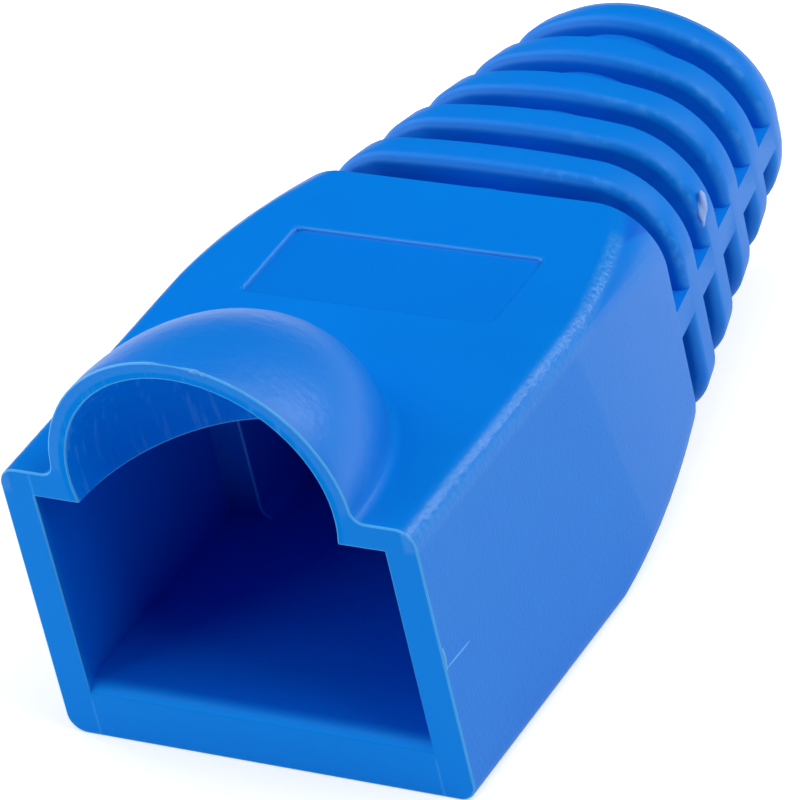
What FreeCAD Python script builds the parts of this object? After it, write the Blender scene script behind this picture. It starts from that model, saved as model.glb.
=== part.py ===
import FreeCAD, Part
import math
import os
import Sketcher

# Snagless strain relief boot for an 8P8C plug, moulded in one piece of soft PVC.
# X runs across the boot, Y from the mouth towards the cable, and Z up.
# The sketches measure Y from the plane of the mouth. The body's Placement then moves
# the boot so that the middle of its footprint is the document's origin.

doc = FreeCAD.newDocument("strain_relief_boot")

# ---------------------------------------------------------------- driving sizes, mm
SIZES = [
    ("mouth_width", 14.0, "width of the sleeve"),
    ("mouth_height", 9.67, "height of the sleeve"),
    ("sleeve_edge_round", 0.6, "radius along the four long edges of the sleeve"),
    ("sleeve_length", 9.76, "straight part of the sleeve, from the mouth"),
    ("side_wall", 1.1, "sleeve wall beside the plug"),
    ("roof_wall", 0.87, "sleeve wall over the plug"),
    ("floor_wall", 1.95, "sleeve wall under the plug"),
    ("plug_depth", 8.7, "depth of the pocket for the plug"),
    ("lip_bevel", 0.38, "lead-in on the front edge of the floor"),
    ("throat_half_width", 4.75, "half width of the passage behind the plug"),
    ("throat_roof_wall", 1.7, "wall over the passage behind the plug"),
    ("throat_corner", 0.4, "corner radius of the passage behind the plug"),
    ("throat_setback", 2.7, "distance from the passage's end to the back of the shoulder"),
    ("cable_bore", 5.5, "diameter of the hole for the cable"),
    ("shoulder_length", 6.54, "length of the shoulder between the sleeve and the neck"),
    ("shoulder_narrowing", 0.54, "how far each side comes in along the shoulder"),
    ("shoulder_rise", 0.75, "height of the underside at the back of the shoulder"),
    ("shoulder_edge_round", 2.1, "radius of the long edges at the back of the shoulder"),
    ("neck_axis_height", 5.78, "height of the cable's axis"),
    ("neck_root_step", 0.13, "how far the ribs' top stands over the sleeve at the shoulder"),
    ("neck_root_bottom", 1.0, "height of the ribs' underside at the shoulder"),
    ("neck_root_corner", 2.85, "top corner radius of the ribs at the shoulder"),
    ("neck_root_low_corner", 1.45, "bottom corner radius of the ribs at the shoulder"),
    ("neck_root_crown", 70.0, "radius of the ribs' arched top at the shoulder"),
    ("neck_tip_side_cover", 1.34, "how far the collar stands out from the tube at each side"),
    ("neck_tip_cover", 0.48, "how far the collar stands out from the tube above and below"),
    ("neck_tip_corner", 3.1, "top corner radius of the collar at the tip"),
    ("neck_tip_low_corner", 2.7, "bottom corner radius of the collar at the tip"),
    ("neck_tip_crown", 5.4, "radius of the collar's arched top at the tip"),
    ("groove_width", 1.1, "width of each groove"),
    ("rib_width", 1.09, "width of each rib between two grooves"),
    ("collar_width", 1.55, "width of the plain collar behind the last groove"),
    ("core_wall", 0.36, "wall of the tube that the ribs stand on"),
    ("rib_edge_round", 0.38, "radius of each rib's edge on the mouth's side"),
    ("collar_edge_round", 0.7, "radius of the collar's edge on the cable's side"),
    ("bar_drop", 0.3, "how far the side bars lie under the cable's axis"),
    ("bar_height", 0.92, "height of the bar that joins the ribs at each side"),
    ("bar_inset", 0.01, "depth of each side bar's face below the ribs"),
    ("dome_half_width", 5.05, "half width of the latch dome"),
    ("dome_height", 4.69, "height of the latch dome over the sleeve"),
    ("dome_length", 6.8, "length of the latch dome"),
    ("dome_side_wall", 0.6, "wall of the latch dome at its sides"),
    ("dome_top_wall", 0.56, "wall of the latch dome at its crest"),
    ("dome_back_wall", 1.55, "wall of the latch dome at its back"),
    ("dome_root_round", 0.4, "radius where the dome meets the sleeve"),
    ("label_width", 8.6, "width of the label field"),
    ("label_length", 3.45, "length of the label field"),
    ("label_setback", 0.04, "distance from the sleeve's end to the label field"),
    ("label_depth", 0.12, "depth of the label field"),
    ("label_corner", 0.3, "corner radius of the label field"),
]
GROOVES = 5
SHOULDER_SECTIONS = 5
ROUNDING_BANDS = 3      # narrow bands that make up the rounded edge of a rib

sheet = doc.addObject("Spreadsheet::Sheet", "Sizes")
for row, (alias, number, meaning) in enumerate(SIZES, start=1):
    sheet.set(f"A{row}", meaning)
    sheet.set(f"B{row}", str(number))
    sheet.setAlias(f"B{row}", alias)
doc.recompute()

body = doc.addObject("PartDesign::Body", "boot")
body.Label = "boot"


# ---------------------------------------------------------------- sketches
START, END, CENTRE = 1, 2, 3    # a sketch edge's points
ROOT, UPRIGHT = -1, -2          # the sketch's own origin and its vertical axis
OUT_OF_SKETCH = FreeCAD.Vector(0, 0, 1)


def size(formula):
    """The number that a formula over the sheet's sizes gives."""
    return float(sheet.evalExpression(formula))


def sketch_on(role, name, offset):
    """A new sketch, parallel to one of the body's origin planes."""
    plane = [item for item in body.Origin.OriginFeatures if item.Role == role][0]
    sketch = body.newObject("Sketcher::SketchObject", name)
    sketch.AttachmentSupport = [(plane, "")]
    sketch.MapMode = "FlatFace"
    sketch.setExpression("AttachmentOffset.Base.z", offset)
    return sketch


def sketch_across(name, distance):
    """A new sketch across the boot. Its normal points out of the mouth."""
    return sketch_on("XZ_Plane", name, f"-({distance})")


def dimension(sketch, name, formula, kind, *places):
    """Adds one dimension to a sketch and ties it to the sheet."""
    index = sketch.addConstraint(Sketcher.Constraint(kind, *places, size(formula)))
    sketch.renameConstraint(index, name)
    sketch.setExpression(f"Constraints.{name}", formula)


def corner_lift(half_height, w, radius, crown):
    """Height of a corner's centre over the middle, and how far the cap leans there."""
    if not crown:
        return half_height - radius, 0.0
    lean = math.asin((w - radius) / (crown - radius))
    return half_height - crown + (crown - radius) * math.cos(lean), lean


def outline(sketch, half_width, bottom, top, corner, low_corner=None, crown=None):
    """Draws a closed outline that is even about X = 0: two upright sides, two corners
    above and two below, and a top and a bottom. These are straight, or arched where
    crown gives the top's radius; the bottom's arch is then twice as flat."""
    low_corner = low_corner or corner
    floor_crown = f"2 * ({crown})" if crown else None
    w = size(half_width)
    middle = (size(bottom) + size(top)) / 2
    half_height = size(top) - middle

    def half(sign, radius_formula, crown_formula):
        """The cap and the two corners of the upper (sign 1) or lower (sign -1) half."""
        radius = size(radius_formula)
        arch = size(crown_formula) if crown_formula else None
        lift, lean = corner_lift(half_height, w, radius, arch)
        turn = sign * math.pi / 2

        def arc(x, z, r, from_angle, to_angle):
            circle = Part.Circle(FreeCAD.Vector(x, z, 0), OUT_OF_SKETCH, r)
            return Part.ArcOfCircle(circle, min(from_angle, to_angle), max(from_angle, to_angle))

        centre_z = middle + sign * lift
        right = arc(w - radius, centre_z, radius, 0.0, turn - sign * lean)
        left = arc(radius - w, centre_z, radius, 2 * turn, turn + sign * lean)
        if arch:
            cap = arc(0, middle + sign * (half_height - arch), arch, turn - lean, turn + lean)
        else:
            z = middle + sign * half_height
            ends = [FreeCAD.Vector(sign * (w - radius), z, 0), FreeCAD.Vector(sign * (radius - w), z, 0)]
            cap = Part.LineSegment(*ends)
        return right, cap, left, centre_z

    upper_right, roof, upper_left, high = half(1, corner, crown)
    lower_right, floor, lower_left, low = half(-1, low_corner, floor_crown)
    right_side = Part.LineSegment(FreeCAD.Vector(w, low, 0), FreeCAD.Vector(w, high, 0))
    left_side = Part.LineSegment(FreeCAD.Vector(-w, high, 0), FreeCAD.Vector(-w, low, 0))
    ring = [sketch.addGeometry(edge, False)
            for edge in (right_side, upper_right, roof, upper_left,
                         left_side, lower_left, floor, lower_right)]
    right_side, upper_right, roof, upper_left, left_side, lower_left, floor, lower_right = ring
    for edge, following in zip(ring, ring[1:] + ring[:1]):
        sketch.addConstraint(Sketcher.Constraint("Tangent", edge, END, following, START))
    sketch.addConstraint(Sketcher.Constraint("Vertical", right_side))
    sketch.addConstraint(Sketcher.Constraint("Equal", upper_right, upper_left))
    sketch.addConstraint(Sketcher.Constraint("Equal", lower_right, lower_left))
    sketch.addConstraint(
        Sketcher.Constraint("Symmetric", right_side, START, left_side, END, UPRIGHT))
    dimension(sketch, "corner", corner, "Radius", upper_right)
    dimension(sketch, "low_corner", low_corner, "Radius", lower_right)
    dimension(sketch, "half_width", half_width, "DistanceX", ROOT, START, right_side, START)
    if crown:
        for cap in (roof, floor):
            sketch.addConstraint(Sketcher.Constraint("PointOnObject", cap, CENTRE, UPRIGHT))
        dimension(sketch, "roof_crown", crown, "Radius", roof)
        dimension(sketch, "floor_crown", floor_crown, "Radius", floor)
        dimension(sketch, "roof_centre", f"({crown}) - ({top})", "DistanceY",
                  roof, CENTRE, ROOT, START)
        dimension(sketch, "floor_centre", f"({bottom}) + {floor_crown}", "DistanceY",
                  ROOT, START, floor, CENTRE)
    else:
        dimension(sketch, "top", top, "DistanceY", ROOT, START, roof, START)
        dimension(sketch, "bottom", bottom, "DistanceY", ROOT, START, floor, START)
    return sketch


def rectangle(sketch, half_width, bottom, top):
    """Draws a rectangle with sharp corners, even about X = 0."""
    w, z0, z1 = size(half_width), size(bottom), size(top)
    corners = [FreeCAD.Vector(x, z, 0) for x, z in ((-w, z0), (w, z0), (w, z1), (-w, z1))]
    floor, right, roof, left = [
        sketch.addGeometry(Part.LineSegment(a, b), False)
        for a, b in zip(corners, corners[1:] + corners[:1])]
    for edge, following in ((floor, right), (right, roof), (roof, left), (left, floor)):
        sketch.addConstraint(Sketcher.Constraint("Coincident", edge, END, following, START))
    sketch.addConstraint(Sketcher.Constraint("Symmetric", floor, START, floor, END, UPRIGHT))
    sketch.addConstraint(Sketcher.Constraint("Symmetric", roof, START, roof, END, UPRIGHT))
    dimension(sketch, "half_width", half_width, "DistanceX", ROOT, START, floor, END)
    dimension(sketch, "half_width_above", half_width, "DistanceX", ROOT, START, roof, START)
    dimension(sketch, "bottom", bottom, "DistanceY", ROOT, START, floor, START)
    dimension(sketch, "top", top, "DistanceY", ROOT, START, roof, START)
    return sketch


def disc(sketch, height, radius):
    """Draws a circle over the sketch's origin."""
    centre = FreeCAD.Vector(0, size(height), 0)
    circle = sketch.addGeometry(Part.Circle(centre, OUT_OF_SKETCH, size(radius)), False)
    sketch.addConstraint(Sketcher.Constraint("PointOnObject", circle, CENTRE, UPRIGHT))
    dimension(sketch, "height", height, "DistanceY", ROOT, START, circle, CENTRE)
    dimension(sketch, "radius", radius, "Radius", circle)
    return sketch


# ---------------------------------------------------------------- features
def finish_feature(feature):
    """Makes a feature the body's result, and checks that it changed the solid."""
    body.Tip = feature
    doc.recompute()
    before = feature.BaseFeature.Shape.Volume if feature.BaseFeature else 0.0
    change = feature.Shape.Volume - before
    if abs(change) < 1e-6:
        raise RuntimeError(f"{feature.Name} changes nothing")
    print(f"{feature.Name}: {change:+.2f} mm3")


def pad(sketch, length, name):
    """Fills a sketch towards the cable."""
    feature = body.newObject("PartDesign::Pad", name)
    feature.Profile = sketch
    feature.setExpression("Length", length)
    feature.Reversed = True
    finish_feature(feature)


def pocket(sketch, length, name, outwards=False):
    """Cuts a sketch's area away towards the cable, or outwards, away from it."""
    feature = body.newObject("PartDesign::Pocket", name)
    feature.Profile = sketch
    feature.setExpression("Length", length)
    feature.Reversed = outwards
    finish_feature(feature)


def loft(sections, name, ruled=False):
    """Fills the space between sketches, with smooth sides, or with ruled ones that run
    straight from each sketch to the next."""
    feature = body.newObject("PartDesign::AdditiveLoft", name)
    feature.Profile = sections[0]
    feature.Sections = sections[1:]
    feature.Ruled = ruled
    finish_feature(feature)


def fillet(edges, radius, name):
    base = body.Tip
    feature = body.newObject("PartDesign::Fillet", name)
    feature.Base = (base, edges)
    feature.setExpression("Radius", radius)
    finish_feature(feature)


def edges_where(test):
    """Names of the present solid's edges whose box passes a test."""
    return [f"Edge{index}" for index, edge in enumerate(body.Tip.Shape.Edges, start=1)
            if test(edge.BoundBox)]


def across_at(distance):
    """A test for edges that lie in the plane at a distance from the mouth."""
    return lambda box: abs(box.YMin - distance) < 1e-4 and abs(box.YMax - distance) < 1e-4


# ---------------------------------------------------------------- sleeve and shoulder
pad(outline(sketch_across("sleeve_outline", "0"), "Sizes.mouth_width / 2", "0",
            "Sizes.mouth_height", "Sizes.sleeve_edge_round"),
    "Sizes.sleeve_length", "sleeve")

# The shoulder's sides and underside leave the sleeve as arcs that start in line with
# it, while its top runs on flat and its long edges grow rounder.
shoulder_end = "(Sizes.sleeve_length + Sizes.shoulder_length)"


def arc_fall(total, share):
    """How far an arc that falls by total over the shoulder has fallen at a share of it."""
    radius = f"((Sizes.shoulder_length^2 + {total}^2) / (2 * {total}))"
    return f"({radius} - sqrt({radius}^2 - (Sizes.shoulder_length * {share})^2))"


shoulder_outlines = []
for step in range(SHOULDER_SECTIONS):
    share = step / (SHOULDER_SECTIONS - 1)
    narrowing = arc_fall("Sizes.shoulder_narrowing", share)
    growth = "(Sizes.shoulder_edge_round - Sizes.sleeve_edge_round)"
    shoulder_outlines.append(outline(
        sketch_across(f"shoulder_outline_{step + 1}",
                      f"Sizes.sleeve_length + Sizes.shoulder_length * {share}"),
        f"Sizes.mouth_width / 2 - {narrowing}",
        arc_fall("Sizes.shoulder_rise", share),
        "Sizes.mouth_height",
        f"Sizes.sleeve_edge_round + {growth} * {share ** 2}",
        f"Sizes.sleeve_edge_round + {growth} * {share}"))
loft(shoulder_outlines, "shoulder")

# ---------------------------------------------------------------- ribbed neck
pitch = "(Sizes.groove_width + Sizes.rib_width)"


def rib_front(number):
    """Distance from the mouth to the front of a rib, counted from 1 at the shoulder."""
    return f"({shoulder_end} + {pitch} * {number} - Sizes.rib_width)"


collar_front = rib_front(GROOVES)
neck_end = f"({collar_front} + Sizes.collar_width)"


def neck_share(distance):
    """How far along the neck a distance from the mouth is: 0 at its root, 1 at its tip."""
    return f"((({distance}) - {shoulder_end}) / ({neck_end} - {shoulder_end}))"


core_radius = "(Sizes.cable_bore / 2 + Sizes.core_wall)"


def taper(root, tip, distance):
    """A size of the neck's outline, which changes evenly from the root to the tip."""
    return f"({root} + ({tip} - {root}) * {neck_share(distance)})"


def neck_half_width(distance):
    return taper("(Sizes.mouth_width / 2 - Sizes.shoulder_narrowing)",
                 f"({core_radius} + Sizes.neck_tip_side_cover)", distance)


def neck_outline(name, distance, inset="0"):
    """The ribs' common outline: boxy at the shoulder, small and oval at the tip. Where
    the ribs' edges are rounded, it is drawn smaller by inset all round."""
    flatness = "(1 / Sizes.neck_root_crown)"
    rounding = f"(1 / Sizes.neck_tip_crown - {flatness}) * {neck_share(distance)}^2"
    tip_reach = f"({core_radius} + Sizes.neck_tip_cover)"
    bottom = taper("Sizes.neck_root_bottom", f"(Sizes.neck_axis_height - {tip_reach})",
                   distance)
    top = taper("(Sizes.mouth_height + Sizes.neck_root_step)",
                f"(Sizes.neck_axis_height + {tip_reach})", distance)
    corner = taper("Sizes.neck_root_corner", "Sizes.neck_tip_corner", distance)
    low_corner = taper("Sizes.neck_root_low_corner", "Sizes.neck_tip_low_corner", distance)
    return outline(sketch_across(name, distance), f"{neck_half_width(distance)} - {inset}",
                   f"{bottom} + {inset}", f"{top} - {inset}", f"{corner} - {inset}",
                   f"{low_corner} - {inset}", f"1 / ({flatness} + {rounding}) - {inset}")


def rounded_edge(name, face, radius, way):
    """The outlines that round a rib's edge, from its flat face to its full size. The
    face is at a distance from the mouth, and the rib lies behind it (way 1) or before
    it (way -1). The outlines stand on a quarter of a circle."""
    outlines = []
    for step in range(ROUNDING_BANDS + 1):
        angle = math.pi / 2 * step / ROUNDING_BANDS
        run = f"{radius} * {1 - math.cos(angle)}"
        outlines.append(neck_outline(f"{name}_{step + 1}", f"{face} + {way} * {run}",
                                     f"{radius} * {1 - math.sin(angle)}"))
    return outlines


throat_end = f"({shoulder_end} - Sizes.throat_setback)"
pad(disc(sketch_across("core_circle", throat_end), "Sizes.neck_axis_height", core_radius),
    f"{collar_front} + Sizes.collar_width / 2 - {throat_end}", "core")

for number in range(1, GROOVES):
    front_edge = rounded_edge(f"rib_{number}_front", rib_front(number),
                              "Sizes.rib_edge_round", 1)
    back = neck_outline(f"rib_{number}_back", f"{rib_front(number)} + Sizes.rib_width")
    loft(front_edge + [back], f"rib_{number}", ruled=True)

front_edge = rounded_edge("collar_front", collar_front, "Sizes.rib_edge_round", 1)
back_edge = rounded_edge("collar_back", neck_end, "Sizes.collar_edge_round", -1)
loft(front_edge + back_edge[::-1], "collar", ruled=True)


# One bar at each side joins the ribs, a little under the cable's axis. The bars start
# inside the shoulder and end inside the collar.
def bar_outline(name, distance):
    middle = "Sizes.neck_axis_height - Sizes.bar_drop"
    return rectangle(sketch_across(name, distance),
                     f"{neck_half_width(distance)} - Sizes.bar_inset",
                     f"{middle} - Sizes.bar_height / 2", f"{middle} + Sizes.bar_height / 2")


loft([bar_outline("bar_root", f"({shoulder_end} - Sizes.bar_height / 2)"),
      bar_outline("bar_tip", f"({collar_front} + Sizes.collar_width / 2)")],
     "side_bars")


# ---------------------------------------------------------------- latch dome
def ellipsoid(kind, name, half_width, length, height):
    """An ellipsoid round the middle of the mouth's upper edge."""
    feature = body.newObject(f"PartDesign::{kind}Ellipsoid", name)
    feature.setExpression("Radius1", height)
    feature.setExpression("Radius2", half_width)
    feature.setExpression("Radius3", length)
    feature.setExpression("Placement.Base.z", "Sizes.mouth_height")
    finish_feature(feature)


ellipsoid("Additive", "dome", "Sizes.dome_half_width", "Sizes.dome_length",
          "Sizes.dome_height")
pocket(rectangle(sketch_across("mouth_plane", "0"), "Sizes.mouth_width",
                 "-Sizes.mouth_height", "3 * Sizes.mouth_height"),
       "2 * Sizes.dome_length", "mouth_cut", outwards=True)
roof_height = size("Sizes.mouth_height")
dome_reach = size("Sizes.dome_half_width") + 1e-3
fillet(edges_where(lambda box: abs(box.ZMin - roof_height) < 1e-3
                   and abs(box.ZMax - roof_height) < 1e-3
                   and -dome_reach < box.XMin and box.XMax < dome_reach
                   and box.YMin < 1e-3 < box.YMax),
       "Sizes.dome_root_round", "dome_root")

# ---------------------------------------------------------------- passages
ceiling = "(Sizes.mouth_height - Sizes.roof_wall)"
pocket(rectangle(sketch_across("plug_outline", "0"), "Sizes.mouth_width / 2 - Sizes.side_wall",
                 "Sizes.floor_wall", ceiling),
       "Sizes.plug_depth", "plug_pocket")
ellipsoid("Subtractive", "dome_hollow", "Sizes.dome_half_width - Sizes.dome_side_wall",
          "Sizes.dome_length - Sizes.dome_back_wall",
          "Sizes.dome_height - Sizes.dome_top_wall")
pocket(outline(sketch_across("throat_outline", "Sizes.plug_depth"), "Sizes.throat_half_width",
               "Sizes.floor_wall", "Sizes.mouth_height - Sizes.throat_roof_wall",
               "Sizes.throat_corner"),
       f"{throat_end} - Sizes.plug_depth", "throat")
pocket(disc(sketch_across("bore_circle", throat_end), "Sizes.neck_axis_height",
            "Sizes.cable_bore / 2"),
       f"{neck_end} - {throat_end} + Sizes.collar_width", "cable_hole")

# ---------------------------------------------------------------- small features
label_start = "(Sizes.sleeve_length + Sizes.label_setback)"
pocket(outline(sketch_on("XY_Plane", "label_outline", "Sizes.mouth_height"),
               "Sizes.label_width / 2", label_start,
               f"{label_start} + Sizes.label_length", "Sizes.label_corner"),
       "Sizes.label_depth", "label_field")

floor_height = size("Sizes.floor_wall")
lip_edges = edges_where(lambda box: across_at(0)(box)
                        and abs(box.ZMin - floor_height) < 1e-3
                        and abs(box.ZMax - floor_height) < 1e-3)
base = body.Tip
lip = body.newObject("PartDesign::Chamfer", "lip_bevel")
lip.Base = (base, lip_edges)
lip.setExpression("Size", "Sizes.lip_bevel")
finish_feature(lip)

body.setExpression("Placement.Base.y", f"-{neck_end} / 2")
doc.recompute()

# ---------------------------------------------------------------- checks and files
for item in doc.Objects:
    if "Invalid" in item.State or "Error" in item.State:
        raise RuntimeError(f"{item.Name} failed: {item.State}")
if body.Shape.isNull() or not body.Shape.isValid() or len(body.Shape.Solids) != 1:
    raise RuntimeError("the boot is not one valid solid")
print(f"boot: {body.Shape.Volume:.1f} mm3, {body.Shape.BoundBox}")

os.makedirs("parts", exist_ok=True)
body.Shape.exportStep(f"parts/{body.Label}.step")
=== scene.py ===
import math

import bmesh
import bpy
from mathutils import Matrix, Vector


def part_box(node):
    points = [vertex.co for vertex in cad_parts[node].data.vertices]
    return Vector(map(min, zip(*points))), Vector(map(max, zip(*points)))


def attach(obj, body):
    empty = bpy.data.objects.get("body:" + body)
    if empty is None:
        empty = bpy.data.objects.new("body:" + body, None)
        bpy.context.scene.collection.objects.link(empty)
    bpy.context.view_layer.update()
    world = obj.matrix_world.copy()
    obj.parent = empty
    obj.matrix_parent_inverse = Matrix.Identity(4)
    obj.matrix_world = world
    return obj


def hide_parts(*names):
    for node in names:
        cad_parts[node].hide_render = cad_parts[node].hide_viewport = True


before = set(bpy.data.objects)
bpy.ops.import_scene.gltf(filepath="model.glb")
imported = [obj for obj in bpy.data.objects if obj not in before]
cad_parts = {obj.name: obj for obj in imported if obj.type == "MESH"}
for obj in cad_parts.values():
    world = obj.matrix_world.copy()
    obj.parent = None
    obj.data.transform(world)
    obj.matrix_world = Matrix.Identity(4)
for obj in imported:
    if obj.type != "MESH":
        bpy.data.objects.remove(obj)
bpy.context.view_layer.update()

# %% [markdown]
# A strain relief boot is one moulding of soft PVC: a box sleeve that grips the back of
# a modular plug, a dome over the plug's latch, and a ribbed neck round the cable. Its
# shape is already made, as a construction model, which is loaded above. This file adds
# what that model leaves out: softened edges, the finish of the plastic, the small
# marks that moulding and handling leave, and then a floor, light and a camera.

MM = 0.001
low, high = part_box("boot")
print("boot, mm:", [round(side / MM, 2) for side in high - low])

# %% [markdown]
# The camera looks down on the mouth from its right, from far away through a long lens,
# so the boot shows little perspective. A camera could be placed by typing its matrix.
# Here it is placed by what it aims at, by the side and the height that it looks from,
# by its distance, and by how much it leans, because those can be read and changed. The
# same turn will later aim the lamps.

# %% Camera
AIM = Vector((0, low.y + 10.162 * MM, 6.047 * MM))    # behind the mouth, over the floor
DISTANCE = 192.95 * MM
SIDE_ANGLE = math.radians(36.334)     # from straight before the mouth, to its right
HEIGHT_ANGLE = math.radians(33.157)   # over the floor
LEAN = math.radians(-13.653)          # rolls it, so that the boot seems to climb
LENS, SENSOR = 291.67, 36.0           # mm, as a lens and a film frame are sold
CLIP_START = 10 * MM


def turned_to(side_angle, height_angle):
    """Turns a lamp or camera at the origin to look down from that direction."""
    return (Matrix.Rotation(side_angle, 4, "Z")
            @ Matrix.Rotation(math.pi / 2 - height_angle, 4, "X"))


camera_data = bpy.data.cameras.new("camera")
camera_data.lens = LENS
camera_data.sensor_width = SENSOR
camera_data.clip_start = CLIP_START
camera = bpy.data.objects.new("camera", camera_data)
bpy.context.scene.collection.objects.link(camera)
camera.matrix_world = (Matrix.Translation(AIM) @ turned_to(SIDE_ANGLE, HEIGHT_ANGLE)
                       @ Matrix.Translation((0, 0, DISTANCE))
                       @ Matrix.Rotation(LEAN, 4, "Z"))
bpy.context.scene.camera = camera
print("camera, mm:", [round(part / MM, 2) for part in camera.matrix_world.translation])

# %% [markdown]
# The construction model has sharp edges, and no moulding does: the tool's edges are
# stoned, and soft PVC shrinks. The boot could be modelled again by hand, but a copy of
# the model keeps its sizes exactly. The model comes as loose triangles, which nothing
# can bevel, so the copy is first merged into one skin. The model itself is left alone.

# %% One skin from the model's triangles
WELD = 0.0002 * MM

skin = bmesh.new()
skin.from_mesh(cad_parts["boot"].data)
loose_points = len(skin.verts)
bmesh.ops.remove_doubles(skin, verts=skin.verts, dist=WELD)
bmesh.ops.dissolve_degenerate(skin, dist=WELD, edges=skin.edges)
print("points:", loose_points, "merged into", len(skin.verts))

# %% [markdown]
# A bevel needs whole faces on both sides of an edge, so flat triangles are joined. That
# is done on the sleeve only. The neck's ribs are rounded already, and their flat backs
# are better left as triangles, because they are rings with a slot.

# %% Whole faces on the sleeve
NECK_START = 16.2 * MM          # from the mouth
FLAT = math.radians(0.2)


def on_sleeve(vert):
    return vert.co.y < low.y + NECK_START


def sleeve_edges():
    return [edge for edge in skin.edges if all(map(on_sleeve, edge.verts))]


bmesh.ops.dissolve_limit(skin, angle_limit=FLAT, edges=sleeve_edges(),
                         verts=[vert for vert in skin.verts if on_sleeve(vert)])
print("faces on the whole boot:", len(skin.faces))

# %% [markdown]
# The outer edges are bevelled by less than a tenth of a millimetre, and the inner
# corners stay sharp. A Bevel modifier could do it too, but the operator takes only the
# edges that it is given and hands back the strips that it made. Each strip is marked,
# so that the material paints a pale highlight along it. The strips round the label's
# recess aren't marked.

# %% Softened outer edges
EDGE_ROUND = 0.055 * MM
SHARP = math.radians(50)
LABEL_ZONE = ((-4.6, 9.5, 9.4), (4.6, 13.5, 9.9))    # mm, from the mouth's foot


def round_label(face):
    centre = (face.calc_center_median() - Vector((0, low.y, 0))) / MM
    return all(least < place < most for place, least, most in zip(centre, *LABEL_ZONE))


# The bevel strips get a painted highlight in the material.
painted_edge_highlight = skin.faces.layers.float.new("painted_edge_highlight")
ridges = [edge for edge in sleeve_edges()
          if edge.is_convex and edge.calc_face_angle(0.0) > SHARP]
bevelled = bmesh.ops.bevel(skin, geom=ridges, offset=EDGE_ROUND, offset_type="OFFSET",
                           segments=2, profile=0.5, affect="EDGES", clamp_overlap=False,
                           loop_slide=True, material=-1)
for face in bevelled["faces"]:
    face[painted_edge_highlight] = 0.0 if round_label(face) else 1.0
print("outer edges bevelled:", len(ridges), "open edges:",
      sum(1 for edge in skin.edges if len(edge.link_faces) != 2))

# %% [markdown]
# The skin becomes the visible moulding. It is shaded smooth, except across folds that
# are sharper than a set angle. Weighted normals keep the large flat faces flat and let
# the narrow strips of bevel do all the turning, which draws a fine highlight on each
# edge. The moulding stands for the model's node.

# %% The moulding
CREASE = math.radians(55)

for edge in skin.edges:
    edge.smooth = edge.calc_face_angle(0.0) < CREASE
for face in skin.faces:
    face.smooth = True
moulding_mesh = bpy.data.meshes.new("moulding")
skin.to_mesh(moulding_mesh)
skin.free()
moulding = bpy.data.objects.new("moulding", moulding_mesh)
bpy.context.scene.collection.objects.link(moulding)
even_shading = moulding.modifiers.new("even_shading", "WEIGHTED_NORMAL")
even_shading.keep_sharp = True
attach(moulding, "root")
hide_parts("boot")
print("moulding's faces:", len(moulding_mesh.polygons))

# %% [markdown]
# Materials are node trees. One helper adds a node, sets its inputs and links what it
# reads, so that a tree reads as a list of what it does. One function turns a colour as
# a designer writes it, in sRGB, to the linear light that a shader works in.

# %% Helpers for colours, nodes and materials
def linear(hex_colour):
    """An sRGB colour such as #0080E4, as linear red, green, blue and an alpha of 1."""
    parts = [int(hex_colour[start:start + 2], 16) / 255 for start in (1, 3, 5)]
    return [part / 12.92 if part <= 0.04045 else ((part + 0.055) / 1.055) ** 2.4
            for part in parts] + [1.0]


def add_node(tree, kind, inputs=None, **settings):
    """Adds a node. An input is named or numbered, and takes a value, another node's
    output, or a node, which gives its first output."""
    node = tree.nodes.new(kind)
    for name, value in settings.items():
        setattr(node, name, value)
    for name, value in (inputs or {}).items():
        if isinstance(value, bpy.types.Node):
            value = value.outputs[0]
        if isinstance(value, bpy.types.NodeSocket):
            tree.links.new(value, node.inputs[name])
        else:
            node.inputs[name].default_value = value
    return node


def new_material(name):
    material = bpy.data.materials.new(name)
    material.use_nodes = True
    material.node_tree.nodes.clear()
    return material, material.node_tree


print("the boot's blue, linear:", [round(part, 3) for part in linear("#0080E4")])

# %% [markdown]
# A pattern on a moulding is fixed to the object, and its grains have a real size. It
# could follow a UV map, but a moulding has no weave or print that needs one. So one
# function gives the place on the object in millimetres, and one gives noise whose
# grains measure about the size that is asked for, or more along a stretched axis.

# %% Helpers for places and grains
def place_in_mm(tree, start=(0, 0, 0)):
    """The place on the object, in mm from start, which is given in metres."""
    place = add_node(tree, "ShaderNodeTexCoord").outputs["Object"]
    return add_node(tree, "ShaderNodeMapping", {
        "Vector": place, "Location": [-part / MM for part in start],
        "Scale": (1 / MM, 1 / MM, 1 / MM)})


def grains(in_mm, size, detail=2.0, stretch=(1, 1, 1)):
    """Noise from about 0 to 1 whose grains measure about size, in mm."""
    tree = in_mm.id_data
    scaled = add_node(tree, "ShaderNodeMapping", {
        "Vector": in_mm, "Scale": [1 / part for part in stretch]})
    return add_node(tree, "ShaderNodeTexNoise", {
        "Vector": scaled, "Scale": 1 / size, "Detail": detail})


pvc, tree = new_material("moulded_soft_pvc")
in_mm = place_in_mm(tree, start=(0, low.y, 0))
print("material:", pvc.name, "measured from y, mm:", round(low.y / MM, 3))

# %% [markdown]
# The boot is moulded in soft PVC, coloured right through with one blue, so it looks
# even, satin and slightly waxy. The tool gives it its finish, and the tool isn't the
# same everywhere, so the material must know where it is. That could be painted on an
# image. Measures and masks are used here, because they need no unwrapping and stay
# crisp from near by. First come the sizes that they are worked out from.

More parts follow.
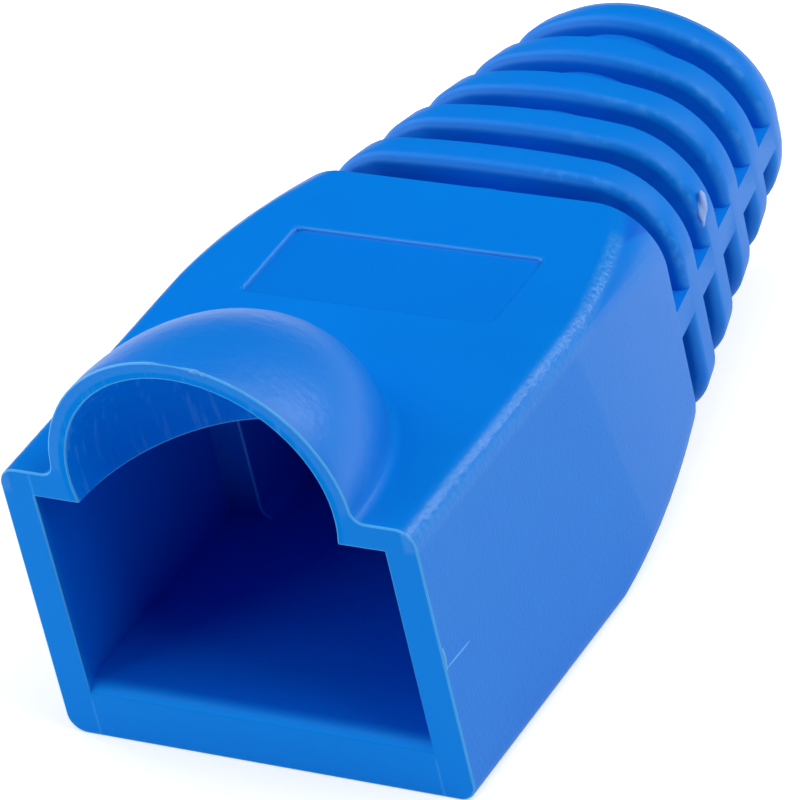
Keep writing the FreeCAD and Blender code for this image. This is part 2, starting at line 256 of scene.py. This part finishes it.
# %% Moulded soft PVC: sizes
HALF_WIDTH = round(high.x / MM, 3)      # mm, as all the sizes here
ROOF = 9.67                             # the sleeve's top, over the floor
SLEEVE_LENGTH, SHOULDER_LENGTH, SHOULDER_NARROWING = 9.76, 6.54, 0.54
GRAIN_END_FRONT, GRAIN_END_BACK = 0.35, 1.25     # how far below the roof the grain ends
BLEND_LINE, BLEND_TURN, BLEND_POWER = 6.82, 1.47, 1.57   # the hand-blended line
SEAM = 5.9                              # from the centre line
LABEL_LEFT, LABEL_FRONT, LABEL_BACK = -4.3, 9.80, 13.25
RIB_FRONT, RIB_PITCH = 17.56, 2.19      # the middle of the first rib's front edge
FOLD_LEAN = 0.25                        # the shoulder's fold leans back, by this slope
DOME_INSIDE = (4.75, 5.9, 4.42)         # half axes of the egg between its two skins
print("shoulder ends, mm from the mouth:", round(SLEEVE_LENGTH + SHOULDER_LENGTH, 2))

# %% [markdown]
# Each row below is a sum, and becomes one node: how far a place is from the centre
# line, from the roof, from a side wall, and from each line that is to be drawn. A row's
# words name the measures above it. The shoulder curves inwards by a square law, and the
# end of the side's grain moves down with it.

# %% Moulded soft PVC: measures
MEASURES = (
    ("outward", "ABSOLUTE", "across", 0),
    ("below_roof", "SUBTRACT", ROOF, "up"),
    ("shoulder", "SUBTRACT", "along", SLEEVE_LENGTH),
    ("shoulder", "DIVIDE", "shoulder", SHOULDER_LENGTH),
    ("shoulder", "MAXIMUM", "shoulder", 0),
    ("shoulder", "MINIMUM", "shoulder", 1),
    ("bend", "POWER", "shoulder", 2),
    ("narrowing", "MULTIPLY", "bend", SHOULDER_NARROWING),
    ("half_width", "SUBTRACT", HALF_WIDTH, "narrowing"),
    ("to_wall", "SUBTRACT", "half_width", "outward"),
    ("grain_end", "MULTIPLY", "bend", GRAIN_END_BACK - GRAIN_END_FRONT),
    ("grain_end", "ADD", "grain_end", GRAIN_END_FRONT),
    ("into_grain", "SUBTRACT", "below_roof", "grain_end"),
    ("blend_turn", "POWER", "shoulder", BLEND_POWER),
    ("blend_turn", "MULTIPLY", "blend_turn", BLEND_TURN),
    ("blend_line", "SUBTRACT", BLEND_LINE, "blend_turn"),
    ("from_blend", "SUBTRACT", "outward", "blend_line"),
    ("from_blend", "ABSOLUTE", "from_blend", 0),
    ("from_seam", "SUBTRACT", "outward", SEAM),
    ("from_seam", "ABSOLUTE", "from_seam", 0),
    ("from_label_back", "SUBTRACT", "along", LABEL_BACK),
    ("from_label_back", "ABSOLUTE", "from_label_back", 0),
    ("from_label_left", "SUBTRACT", "across", LABEL_LEFT),
    ("from_label_left", "ABSOLUTE", "from_label_left", 0),
    ("from_rib", "SUBTRACT", "along", RIB_FRONT),
    ("from_rib", "PINGPONG", "from_rib", RIB_PITCH / 2),
    ("fold", "MULTIPLY", "below_roof", FOLD_LEAN),
    ("fold", "SUBTRACT", "along", "fold"))

split = add_node(tree, "ShaderNodeSeparateXYZ", {0: in_mm})
where = dict(zip(("across", "along", "up"), split.outputs))
for name, operation, first, second in MEASURES:
    where[name] = add_node(tree, "ShaderNodeMath", {
        0: where.get(first, first), 1: where.get(second, second)}, operation=operation)
egg = add_node(tree, "ShaderNodeMapping", {
    "Vector": in_mm, "Location": (0, 0, -ROOF / DOME_INSIDE[2]),
    "Scale": [1 / half_axis for half_axis in DOME_INSIDE]})
where["from_dome"] = add_node(tree, "ShaderNodeVectorMath", {0: egg},
                              operation="LENGTH").outputs["Value"]
print("measures:", len(where))

# %% [markdown]
# Three more measures are grains, for marks that are broken up: the scuffs inside the
# dome, which are long and upright as the latch rubs them, the specks of painted
# highlight along the top corners, and the painted glints on the ribs.

# %% Moulded soft PVC: grains that break up the marks
# Real scuffs are about 0.05 mm wide. They and the specks of painted highlight are drawn
# coarser, so that they show.
SCUFF, CORNER_SPECK, GLINT = 0.22, 0.10, 0.40

where["scuff_grains"] = grains(in_mm, SCUFF, stretch=(1, 1, 9))
where["corner_speck_grains"] = grains(in_mm, CORNER_SPECK)
where["glint_grains"] = grains(in_mm, GLINT)
print("measures with the grains:", len(where))

# %% [markdown]
# A mask is 1 on one region of the boot and 0 elsewhere. Each is a product of bands, and
# a band rises smoothly from 0 where its measure has the first value to 1 where it has
# the second, or between the two levels that follow. A name alone is an earlier mask.
# The tops and the neck were cut in polished steel. The sides were spark-eroded, and
# their grain stops in a crisp line below the rounded corners. The corners themselves
# were blended by hand. The mouth, its lip and the pocket are the core's side.

# %% Moulded soft PVC: regions
NECK = SLEEVE_LENGTH + SHOULDER_LENGTH
ON_ROOF = ("up", ROOF - 0.3, ROOF - 0.2)

REGIONS = {
    "before_neck": [("along", NECK + 0.1, NECK - 0.1)],
    "neck": [("along", NECK - 0.1, NECK + 0.1)],
    "side": [("into_grain", -0.03, 0.05), ("to_wall", 0.7, 0.6),
             ("along", 0.02, 0.05), "before_neck"],
    "side_shine": ["side", ("fold", 9.5, 9.8, 0.42, 0.92)],
    "blend": [("from_blend", 0.30, 0.10), ("below_roof", 0.9, 0.6),
              ("along", 15.4, 14.8)],
    "dome": [("up", ROOF + 0.1, ROOF + 0.4), ("along", 7.3, 6.9)],
    "dome_outside": ["dome", ("from_dome", 0.98, 1.0)],
    "dome_inside": [("up", 8.7, 8.85), ("from_dome", 1.0, 0.98)],
    "mouth": [("along", 0.05, 0.02)],
    "lip": [("along", 0.50, 0.05), ("along", 0.02, 0.05), ("up", 1.45, 1.5),
            ("up", 2.1, 2.0), ("outward", 5.95, 5.85)],
    "pocket": [("along", 0.05, 0.4), "before_neck", ("outward", 6.1, 6.0),
               ("up", 1.2, 1.3), ("up", ROOF - 0.2, ROOF - 0.4)],
    "label": [("outward", 4.3, 4.25), ON_ROOF,
              ("along", LABEL_FRONT, LABEL_FRONT + 0.05),
              ("along", LABEL_BACK, LABEL_BACK - 0.05)]}
print("regions:", ", ".join(REGIONS))

# %% [markdown]
# Marks are masks too. They are the two seams that the core left at the ends of the
# mouth's floor and one above the pocket, and the scuffs. The rest are painted
# highlights: specks along the top corners, more of them near the neck, glints on the
# right of each rib's front edge, and the bright step of the label's recess, at its back
# and its left.

# %% Moulded soft PVC: marks
MARKS = {
    "foot_seams": ["mouth", ("from_seam", 0.06, 0.01), ("up", 1.5, 1.2)],
    "top_seam": ["mouth", ("from_seam", 0.06, 0.01), ("up", 8.7, 8.8),
                 ("across", 0, -0.1)],
    "scuffs": ["dome_inside", ("scuff_grains", 0.52, 0.72)],
    # Painted highlight: pale specks along the blended top corners, more near the neck.
    "painted_corner_specks": ["blend", ("corner_speck_grains", 0.46, 0.60)],
    "painted_corner_specks_at_neck": ["painted_corner_specks", ("along", 9.5, 13.0)],
    # Painted highlights: glints on the right of each rib's front edge.
    "rib_glints": ["neck", ("from_rib", 0.16, 0.06), ("glint_grains", 0.47, 0.62),
                   ("across", 0.5, 3.0), ("up", 5.8, 6.8)],
    "side_glints": ["rib_glints", ("across", 2.8, 3.4)],
    "top_glints": ["rib_glints", ("up", 8.55, 8.70)],
    # Painted highlight: the bright step at the back and the left of the label's recess.
    "label_back": [("from_label_back", 0.09, 0.05), ("outward", 4.35, 4.30), ON_ROOF],
    "label_left": [("from_label_left", 0.09, 0.05), ON_ROOF,
                   ("along", LABEL_FRONT, LABEL_FRONT + 0.1),
                   ("along", LABEL_BACK + 0.05, LABEL_BACK)],
    "label_step": [("below_roof", 0.01, 0.02), ("below_roof", 0.12, 0.10)],
    "label_back_step": ["label_back", "label_step"],
    "label_left_step": ["label_left", "label_step"]}
print("marks:", ", ".join(MARKS))

# %% [markdown]
# One loop turns both tables into nodes: a Map Range node for each band, and a Multiply
# node where a second band joins the first. The bevel strips, which get a painted
# highlight, were marked on the mesh, and an Attribute node reads them. Where marks
# meet, they mustn't add up, so a function gives the strongest one of each mask times
# its strength.

# %% Moulded soft PVC: masks as nodes
for name, parts in (REGIONS | MARKS).items():
    mask = None
    for part in parts:
        if isinstance(part, str):
            band = where[part]
        else:
            measure, start, end, *levels = part
            lowest, highest = levels or (0, 1)
            band = add_node(tree, "ShaderNodeMapRange", {
                "Value": where[measure], "From Min": start, "From Max": end,
                "To Min": lowest, "To Max": highest}, interpolation_type="SMOOTHSTEP")
        mask = band if mask is None else add_node(
            tree, "ShaderNodeMath", {0: mask, 1: band}, operation="MULTIPLY")
    where[name] = mask
# Reads the bevel strips, where a highlight is painted.
where["painted_edge_highlight"] = add_node(tree, "ShaderNodeAttribute",
                              attribute_name="painted_edge_highlight").outputs["Fac"]


def strongest(tree, where, rows):
    """The largest of each mask times its strength, as a node."""
    most = 0.0
    for mask_name, strength in rows:
        share = add_node(tree, "ShaderNodeMath", {0: where[mask_name], 1: strength},
                         operation="MULTIPLY")
        most = add_node(tree, "ShaderNodeMath", {0: most, 1: share},
                        operation="MAXIMUM")
    return most


print("measures and masks:", len(where))

# %% [markdown]
# The relief could be pushed into the mesh, but it is so fine that it would take
# millions of faces, so it is a bump. The eroded grain of the sides makes them dull and
# a little paler. The dome has a coarser, leathery skin. The blended corners are uneven,
# which breaks up their highlight. Everywhere lies the slow ripple of a soft moulding
# that has shrunk. Heights are in millimetres.

# %% Moulded soft PVC: relief
# Real eroded grain measures about 0.04 mm and scraped blending marks about 0.1 mm. Both
# are too fine to show, so they are drawn at 0.11 and 0.20 mm.
RELIEF = (    # grain size, detail, region, height elsewhere, height in the region
    (0.11, 2, "side", 0.0012, 0.0122),
    (0.28, 2, "dome", 0.0, 0.022),
    (0.20, 2, "blend", 0.0, 0.050),
    (1.60, 1, "side", 0.010, 0.010))

relief = 0.0
for size, detail, region, elsewhere, inside in RELIEF:
    skin_grains = grains(in_mm, size, detail)
    height = add_node(tree, "ShaderNodeMath", {
        0: where[region], 1: inside - elsewhere, 2: elsewhere},
        operation="MULTIPLY_ADD")
    relief = add_node(tree, "ShaderNodeMath", {0: skin_grains, 1: height, 2: relief},
                      operation="MULTIPLY_ADD")
bump = add_node(tree, "ShaderNodeBump", {"Height": relief, "Distance": MM})
print("layers of relief:", len(RELIEF))

# %% [markdown]
# The blue varies a little from place to place, as the pigment does in soft PVC. The
# colour lies over it in layers. The pocket is a deeper blue, which is painted shade,
# and the mouth's front, its lip and the inside of the dome are a brighter blue, which
# is painted light. The label's recess is a little darker. Scuffs and seams turn PVC
# pale, and the same pale blue paints highlights on the outer edges, along the blended
# corners, on the step of the label's recess and on the ribs. Each mark has its own
# strength, and the strongest wins where they meet.

# %% Moulded soft PVC: colour
CLOUDS, CLOUD_SIZE = ("#0078E0", "#0080E4"), 2.5
# The pocket's deeper blue is painted shade. The brighter blues of the mouth, the lip
# and the dome's inside are painted light.
LAYERS = (("pocket", "#0068DC"), ("mouth", "#008AF4"), ("dome_inside", "#008AF4"),
          ("lip", "#1296FF"), ("label", "#0078DF"))
PALE_BLUE = "#58B8FF"
# The corner specks, the blend, the glints, the label's back and left with their steps,
# and the edge strips are painted highlights. Scuffs and seams are pale marks of the PVC
# itself.
PALENESS = (("scuffs", 0.25), ("foot_seams", 0.30), ("top_seam", 0.30),
            ("painted_corner_specks", 0.144), ("painted_corner_specks_at_neck", 0.32), ("side_glints", 0.18),
            ("top_glints", 0.18), ("blend", 0.12), ("label_back", 0.0825),
            ("label_left", 0.0825), ("label_back_step", 0.55),
            ("label_left_step", 0.55), ("painted_edge_highlight", 0.85))

# A Mix node has its colours in inputs 6 and 7, and gives the mixed one as output 2.
colour = linear(CLOUDS[0])
for factor, layer in ([(grains(in_mm, CLOUD_SIZE), CLOUDS[1])]
                      + [(where[region], layer) for region, layer in LAYERS]
                      + [(strongest(tree, where, PALENESS), PALE_BLUE)]):
    colour = add_node(tree, "ShaderNodeMix", {0: factor, 6: colour, 7: linear(layer)},
                      data_type="RGBA").outputs[2]
print("layers of colour:", len(LAYERS) + 2, "kinds of pale mark:", len(PALENESS))

# %% [markdown]
# Polished soft PVC has a satin gloss, and the grained sides are rougher. A film of
# plasticiser mutes the gloss on the tops and the neck, so the specular level is low
# there. It is full on the dome and the blended corners, and nearly so on the side
# behind the fold. The core's side hardly shines at all. The refractive index is PVC's.

# %% Moulded soft PVC: gloss, and the shader
PVC_IOR = 1.53
SATIN, ROUGHER = 0.34, (("side", 0.18), ("neck", 0.08), ("dome", 0.06))
SHINE, FULL_SHINE = 0.18, 0.50
SHINY = (("side_shine", 1.0), ("blend", 1.0), ("dome_outside", 1.0))
DULL = (("mouth", 0.7), ("dome_inside", 0.95), ("lip", 0.8))

roughness = SATIN
for region, more in ROUGHER:
    roughness = add_node(tree, "ShaderNodeMath", {
        0: where[region], 1: more, 2: roughness}, operation="MULTIPLY_ADD")
shine = add_node(tree, "ShaderNodeMath", {
    0: strongest(tree, where, SHINY), 1: FULL_SHINE - SHINE, 2: SHINE},
    operation="MULTIPLY_ADD")
kept = add_node(tree, "ShaderNodeMath", {0: 1.0, 1: strongest(tree, where, DULL)},
                operation="SUBTRACT")
shine = add_node(tree, "ShaderNodeMath", {0: shine, 1: kept}, operation="MULTIPLY")
shell = add_node(tree, "ShaderNodeBsdfPrincipled", {
    "Base Color": colour, "Roughness": roughness, "IOR": PVC_IOR,
    "Specular IOR Level": shine, "Normal": bump})
add_node(tree, "ShaderNodeOutputMaterial", {"Surface": shell})
moulding_mesh.materials.clear()
moulding_mesh.materials.append(pvc)
print("nodes in the soft PVC:", len(tree.nodes))

# %% [markdown]
# Three small leavings of the moulding come next. A thread of flash lies on the right
# side, where the tool's halves meet the mouth. A flake of torn PVC clings to the right
# of the second rib. Crumbs of flash sit on the lip of the dome. They could be pulled
# out of the moulding's skin, but then they would share its material. Each is made of
# balls that are squashed, turned and made ragged, because a ball is a closed shell with
# no seam to mend.

# %% Flash and torn PVC: pieces
RAGGED = 0.18      # how far a ball's skin leaves the round, as a share of its radius


def leaving(name, lumps):
    """A closed piece made of balls: each has a centre, half sizes and a turn, in mm."""
    lump_mesh = bmesh.new()
    for centre, half_sizes, turn in lumps:
        made = bmesh.ops.create_icosphere(lump_mesh, subdivisions=4, radius=1.0)
        ball = made["verts"]
        for vert in ball:      # two crossed waves make it ragged
            wave = math.sin(5 * vert.co.z + 2 * vert.co.x) * math.sin(3 * vert.co.y + 1)
            vert.co *= 1 + RAGGED * wave
        bmesh.ops.transform(lump_mesh, verts=ball, matrix=(
            Matrix.Translation(Vector(centre) * MM + Vector((0, low.y, 0)))
            @ Matrix.Rotation(math.radians(turn), 4, "X")
            @ Matrix.Diagonal([half * MM for half in half_sizes] + [1])))
    for face in lump_mesh.faces:
        face.smooth = True
    mesh = bpy.data.meshes.new(name)
    lump_mesh.to_mesh(mesh)
    lump_mesh.free()
    piece = bpy.data.objects.new(name, mesh)
    bpy.context.scene.collection.objects.link(piece)
    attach(piece, "root")
    return piece


thread = leaving("flash_thread", [((7.0, 0.76, 4.82), (0.035, 0.68, 0.040), -2),
                                  ((6.99, 0.08, 5.20), (0.050, 0.06, 0.42), 0)])
flake = leaving("torn_flake", [((5.74, 19.97, 7.26), (0.13, 0.19, 0.58), -18)])
crumbs = leaving("lip_crumbs", [((0.92, 0.04, 14.24), (0.16, 0.06, 0.07), 0),
                                ((1.22, 0.05, 14.17), (0.10, 0.06, 0.05), 0)])
print("leavings:", [piece.name for piece in (thread, flake, crumbs)])

# %% [markdown]
# Flash is the same PVC squeezed into a skin so thin that light comes through, so it is
# matt and a lighter blue. Torn PVC is whitened, because tearing opens tiny gaps in it
# that scatter light, and its surface is fibrous and rough.

# %% Flash and torn PVC: materials
FIBRE_SIZE = 0.12      # mm
LEAVINGS = (    # name, two colours, their size in mm, roughness, fibres' height, pieces
    ("thin_pvc_flash", ("#3C9CEB", "#66B6F6"), 0.15, 0.5, 0.0, (thread, crumbs)),
    ("torn_whitened_pvc", ("#6FAAF0", "#B0C0EF"), 0.80, 0.6, 0.012, (flake,)))

for name, clouds, cloud_size, rough, fibre_height, pieces in LEAVINGS:
    material, tree = new_material(name)
    in_mm = place_in_mm(tree)
    colour = add_node(tree, "ShaderNodeMix", {
        0: grains(in_mm, cloud_size), 6: linear(clouds[0]), 7: linear(clouds[1])},
        data_type="RGBA").outputs[2]
    shell = add_node(tree, "ShaderNodeBsdfPrincipled", {
        "Base Color": colour, "Roughness": rough, "IOR": PVC_IOR})
    if fibre_height:
        fibres = add_node(tree, "ShaderNodeMath", {
            0: grains(in_mm, FIBRE_SIZE), 1: fibre_height}, operation="MULTIPLY")
        bump = add_node(tree, "ShaderNodeBump", {"Height": fibres, "Distance": MM})
        tree.links.new(bump.outputs[0], shell.inputs["Normal"])
    add_node(tree, "ShaderNodeOutputMaterial", {"Surface": shell})
    for piece in pieces:
        piece.data.materials.append(material)
    print("material:", name, "on", [piece.name for piece in pieces])

# %% [markdown]
# The boot lies on a large sheet of white paper, which also fills the background. The
# world's colour could fill it too, but only a floor shows the boot's shadow. Paper is
# matt, so it is a plain diffuse white. A little light of its own, which only the camera
# and reflections see, brings it up to white without lighting the boot.

# %% Paper floor
PAPER_HALF = 1500 * MM
PAPER_WHITE, PAPER_GLOW = "#F2F2F2", 0.45

sheet = bmesh.new()
bmesh.ops.create_grid(sheet, x_segments=1, y_segments=1, size=PAPER_HALF)
floor_mesh = bpy.data.meshes.new("paper_floor")
sheet.to_mesh(floor_mesh)
sheet.free()
floor = bpy.data.objects.new("paper_floor", floor_mesh)
bpy.context.scene.collection.objects.link(floor)

paper, tree = new_material("white_paper")
ray = add_node(tree, "ShaderNodeLightPath")
seen = ray.outputs["Is Camera Ray"]
for kind in ("Is Glossy Ray", "Is Transmission Ray"):
    seen = add_node(tree, "ShaderNodeMath", {0: seen, 1: ray.outputs[kind]},
                    operation="MAXIMUM")
glow = add_node(tree, "ShaderNodeMath", {0: seen, 1: PAPER_GLOW}, operation="MULTIPLY")
light = add_node(tree, "ShaderNodeEmission", {"Strength": glow})
matt = add_node(tree, "ShaderNodeBsdfDiffuse", {"Color": linear(PAPER_WHITE)})
both = add_node(tree, "ShaderNodeAddShader", {0: matt, 1: light})
add_node(tree, "ShaderNodeOutputMaterial", {"Surface": both})
floor_mesh.materials.append(paper)
print("paper floor, m:", list(floor.dimensions))

# %% [markdown]
# The light is that of a small product tent: a large soft box on each side, high up, a
# weaker one low on the left, a fill in front on the left for the mouth's rim, one
# overhead, and two behind that draw the highlights along the rounded edges. An even
# glow from the world would be simpler, but it would fill the pocket. Nothing lights the
# mouth straight from the front, so the pocket falls into deep blue, and the room itself
# is dark.

# %% Soft boxes
BOX_DISTANCE = 250 * MM
SOFT_BOXES = (    # name, side angle and height in degrees, width in mm, power in watts
    ("right_box", 90, 45, 150, 0.29),
    ("left_low_box", -95, 15, 150, 0.12),
    ("left_high_box", -90, 45, 150, 0.18),
    ("front_fill", -45, 8, 150, 0.34),
    ("overhead_box", 0, 88, 200, 0.17),
    ("rear_box", 140, 30, 100, 0.13),
    ("rear_high_box", 150, 55, 150, 0.09))

for name, side_angle, height_angle, width, power in SOFT_BOXES:
    facing = turned_to(math.radians(side_angle), math.radians(height_angle))
    lamp_data = bpy.data.lights.new(name, "AREA")
    lamp_data.size = width * MM
    lamp_data.energy = power
    lamp = bpy.data.objects.new(name, lamp_data)
    bpy.context.scene.collection.objects.link(lamp)
    lamp.matrix_world = (Matrix.Translation(AIM) @ facing
                         @ Matrix.Translation((0, 0, BOX_DISTANCE)))

world = bpy.data.worlds.new("dark_studio")
world.use_nodes = True
world.node_tree.nodes.clear()
dark = add_node(world.node_tree, "ShaderNodeBackground", {"Strength": 0.0})
add_node(world.node_tree, "ShaderNodeOutputWorld", {"Surface": dark})
bpy.context.scene.world = world
bpy.context.scene.view_settings.view_transform = "Standard"
print("soft boxes:", len(SOFT_BOXES))

# %% [markdown]
# Last, the scene is brought up to date.

# %% Finish
bpy.context.view_layer.update()
